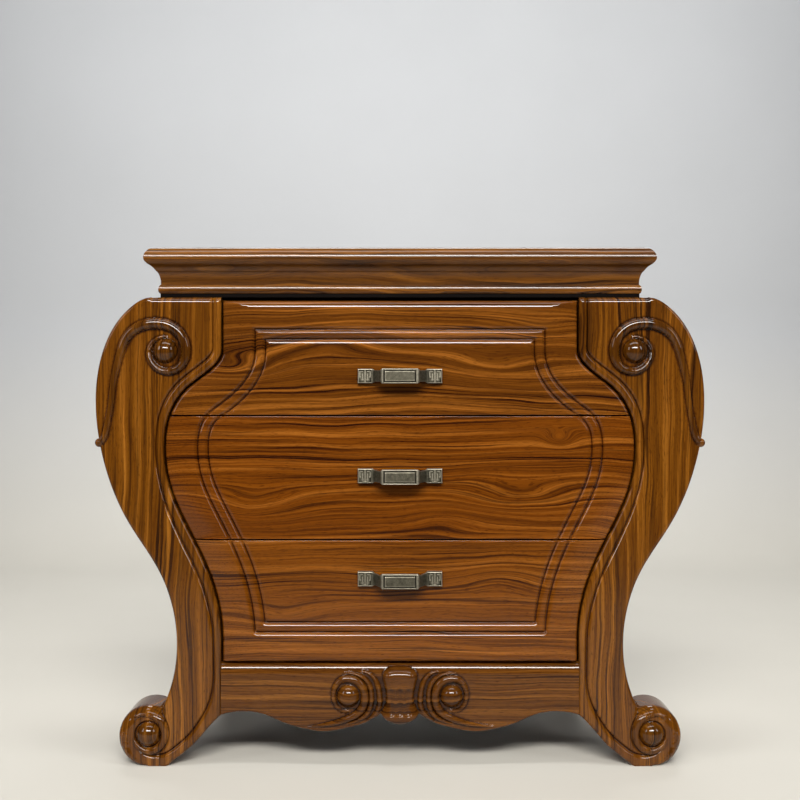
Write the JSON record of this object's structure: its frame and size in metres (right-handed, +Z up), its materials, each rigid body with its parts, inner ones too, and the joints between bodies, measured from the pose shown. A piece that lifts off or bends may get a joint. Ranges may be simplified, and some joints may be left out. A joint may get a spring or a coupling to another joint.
{
  "type": "bombe chest of drawers",
  "caption": "Bombe chest with S-curved scroll legs, a carved apron, a moulded top and sliding drawers with metal bridge pulls.",
  "frame": {"origin": "on the floor under the centre of the whole chest, pulls included", "axes": "+Z up, the drawers open towards -Y, +X to the right seen from the front"},
  "size_m": [0.846, 0.45, 0.72],
  "materials": {
    "lacquered_rosewood": "glossy lacquered, streaked grain",
    "frame_wood": "plain planed",
    "drawer_lining": "satin sealed",
    "antique_bronze": "antiqued, worn on raised edges",
    "screw_steel": "zinc plated"
  },
  "bodies": {
    "carcase": {"back_panel": "frame_wood", "back_panel_screws": "screw_steel", "bottom_panel": "frame_wood", "front_apron": "lacquered_rosewood", "front_bottom_rail": "frame_wood", "front_left_leg": "lacquered_rosewood", "front_lower_rail": "frame_wood", "front_right_leg": "lacquered_rosewood", "front_top_rail": "frame_wood", "front_upper_rail": "frame_wood", "left_side_panel": "lacquered_rosewood", "left_top_rail": "frame_wood", "lower_left_runner": "frame_wood", "lower_right_runner": "frame_wood", "middle_left_runner": "frame_wood", "middle_right_runner": "frame_wood", "neck_front": "lacquered_rosewood", "neck_left": "lacquered_rosewood", "neck_rear": "lacquered_rosewood", "neck_right": "lacquered_rosewood", "rear_bottom_rail": "frame_wood", "rear_left_leg": "lacquered_rosewood", "rear_lower_rail": "frame_wood", "rear_right_leg": "lacquered_rosewood", "rear_top_rail": "frame_wood", "rear_upper_rail": "frame_wood", "right_side_panel": "lacquered_rosewood", "right_top_rail": "frame_wood", "top_front_moulding": "lacquered_rosewood", "top_left_moulding": "lacquered_rosewood", "top_panel": "lacquered_rosewood", "top_rear_rail": "lacquered_rosewood", "top_right_moulding": "lacquered_rosewood", "top_screws": "screw_steel", "upper_left_runner": "frame_wood", "upper_right_runner": "frame_wood"},
    "lower_drawer": {"lower_drawer_back": "drawer_lining", "lower_drawer_bottom": "drawer_lining", "lower_drawer_front": "lacquered_rosewood", "lower_drawer_left_side": "drawer_lining", "lower_drawer_pull": "antique_bronze", "lower_drawer_pull_screws": "screw_steel", "lower_drawer_right_side": "drawer_lining"},
    "middle_drawer": {"middle_drawer_back": "drawer_lining", "middle_drawer_bottom": "drawer_lining", "middle_drawer_front": "lacquered_rosewood", "middle_drawer_left_side": "drawer_lining", "middle_drawer_pull": "antique_bronze", "middle_drawer_pull_screws": "screw_steel", "middle_drawer_right_side": "drawer_lining"},
    "upper_drawer": {"upper_drawer_back": "drawer_lining", "upper_drawer_bottom": "drawer_lining", "upper_drawer_front": "lacquered_rosewood", "upper_drawer_left_side": "drawer_lining", "upper_drawer_pull": "antique_bronze", "upper_drawer_pull_screws": "screw_steel", "upper_drawer_right_side": "drawer_lining"}
  },
  "joints": [
    {"name": "lower_drawer_slide", "type": "slide", "parent": "carcase", "child": "lower_drawer", "axis": [0, -1, 0], "range_m": [0, 0.26]},
    {"name": "middle_drawer_slide", "type": "slide", "parent": "carcase", "child": "middle_drawer", "axis": [0, -1, 0], "range_m": [0, 0.26]},
    {"name": "upper_drawer_slide", "type": "slide", "parent": "carcase", "child": "upper_drawer", "axis": [0, -1, 0], "range_m": [0, 0.26]}
  ]
}
